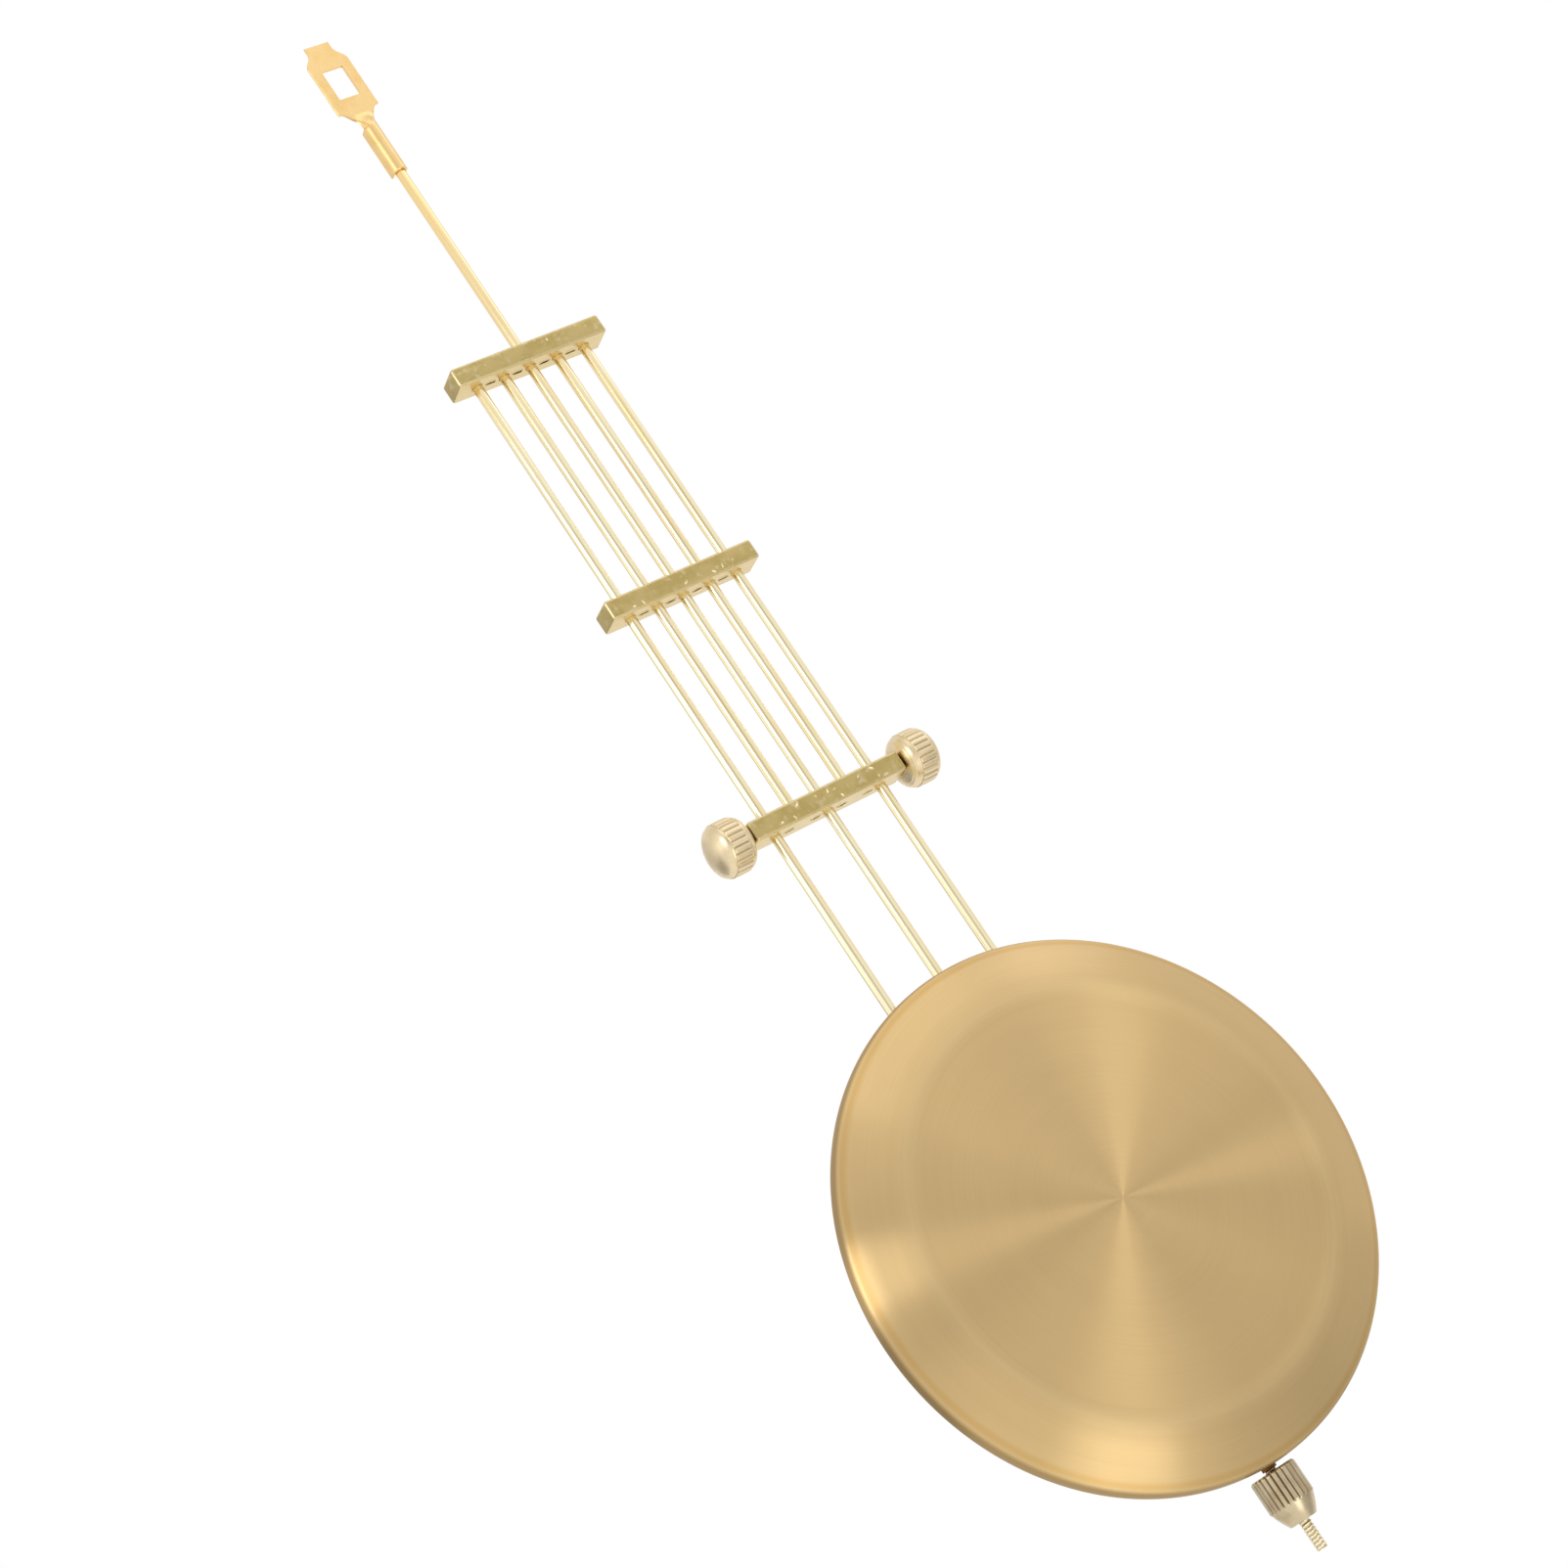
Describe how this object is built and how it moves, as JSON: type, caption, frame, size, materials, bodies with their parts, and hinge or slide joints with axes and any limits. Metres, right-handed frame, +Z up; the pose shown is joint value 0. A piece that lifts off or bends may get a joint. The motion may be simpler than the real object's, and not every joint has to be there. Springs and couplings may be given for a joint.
{
  "type": "clock pendulum",
  "caption": "Brass clock pendulum with a slotted hanger, a grid of rods in crossbars, side knobs, a round bob that slides on the centre rod and a rating nut below it.",
  "frame": {"origin": "middle of the hanger slot's upper edge, in the sheet's middle plane, where the pendulum hangs", "axes": "+X to the viewer's right along the crossbars, +Y away from the viewer out of the bob's back, +Z up along the rods; the bob's face looks along -Y"},
  "size_m": [0.0784, 0.012, 0.2599],
  "materials": {
    "hanger": "pressed sheet, satin",
    "rods": "drawn and polished",
    "crossbars": "satin with fine scuffs",
    "knobs": "turned, domes polished, band knurled",
    "nut": "turned, knurled, cone polished",
    "bob_front": "spun, brushed in circles",
    "bob_back": "satin",
    "bob_core": "as cast",
    "screws": "satin"
  },
  "bodies": {
    "frame": {"hanger_plate": "hanger", "centre_rod": "rods", "outer_rod_left": "rods", "inner_rod_left": "rods", "inner_rod_right": "rods", "outer_rod_right": "rods", "upper_crossbar": "crossbars", "middle_crossbar": "crossbars", "lower_crossbar": "crossbars"},
    "bob": {"bob_shell": "bob_front", "bob_weight": "bob_core", "bob_back_plate": "bob_back", "upper_guide": "crossbars", "lower_guide": "crossbars", "guide_bush": "rods", "upper_guide_screw_left": "screws", "upper_guide_screw_right": "screws", "lower_guide_screw_left": "screws", "lower_guide_screw_right": "screws"},
    "rating_nut": {"rating_nut": "nut"},
    "left_stud": {"left_knob_stud": "rods"},
    "left_knob": {"left_knob": "knobs"},
    "right_stud": {"right_knob_stud": "rods"},
    "right_knob": {"right_knob": "knobs"}
  },
  "joints": [
    {"name": "bob_slide", "type": "slide", "parent": "frame", "child": "bob", "axis": [0, 0, 1], "range_m": [-0.00385, 0.0055]},
    {"name": "nut_spin", "type": "hinge", "parent": "bob", "child": "rating_nut", "pos_m": [0, 0, -0.2455], "axis": [0, 0, 1], "range_deg": [-2521, 3601]},
    {"name": "left_stud_travel", "type": "slide", "parent": "frame", "child": "left_stud", "axis": [-1, 0, 0], "range_m": [0, 0.0012]},
    {"name": "left_knob_turn", "type": "hinge", "parent": "left_stud", "child": "left_knob", "pos_m": [-0.0163, 0, -0.1347], "axis": [-1, 0, 0], "range_deg": [0, 1081]},
    {"name": "right_stud_travel", "type": "slide", "parent": "frame", "child": "right_stud", "axis": [1, 0, 0], "range_m": [0, 0.0012]},
    {"name": "right_knob_turn", "type": "hinge", "parent": "right_stud", "child": "right_knob", "pos_m": [0.0163, 0, -0.1347], "axis": [1, 0, 0], "range_deg": [0, 1081]}
  ],
  "couplings": [
    {"joint": "nut_spin", "follows": "bob_slide", "rad_per_m": 11424},
    {"joint": "left_knob_turn", "follows": "left_stud_travel", "rad_per_m": 15708},
    {"joint": "right_knob_turn", "follows": "right_stud_travel", "rad_per_m": 15708}
  ]
}
